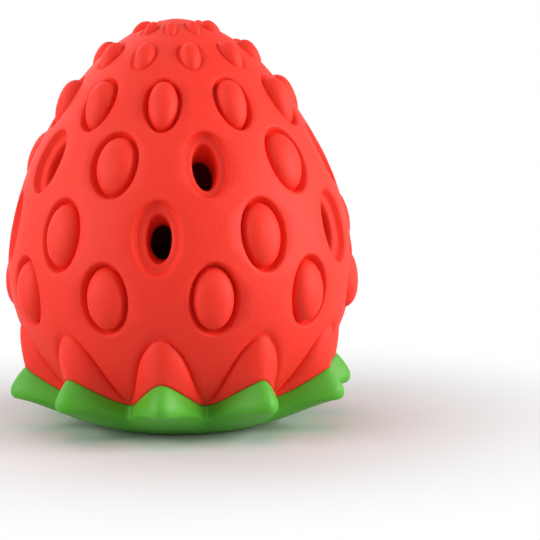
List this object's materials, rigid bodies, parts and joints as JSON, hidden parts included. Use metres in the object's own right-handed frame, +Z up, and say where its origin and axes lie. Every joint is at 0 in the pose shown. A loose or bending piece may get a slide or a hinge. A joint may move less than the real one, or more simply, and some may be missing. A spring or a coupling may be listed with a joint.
{
  "type": "treat dispensing dog toy",
  "caption": "Strawberry-shaped rubber chew toy that holds treats: a hollow seeded fruit with oval treat outlets, plugged onto a leafy base that it stands on.",
  "frame": {"origin": "centre of the flat foot, on the surface that the toy stands on", "axes": "+Z up through the tip, -Y towards the side with the lower treat outlet"},
  "size_m": [0.0832, 0.0824, 0.095],
  "materials": {
    "red_rubber": "matte soft-touch moulded rubber",
    "green_rubber": "matte soft-touch moulded rubber"
  },
  "bodies": {
    "base": {"leaf_base": "green_rubber"},
    "fruit": {"body_shell": "red_rubber"}
  },
  "joints": [
    {"name": "fruit_lift", "type": "slide", "parent": "base", "child": "fruit", "axis": [0, 0, 1], "range_m": [0, 0.04]}
  ]
}
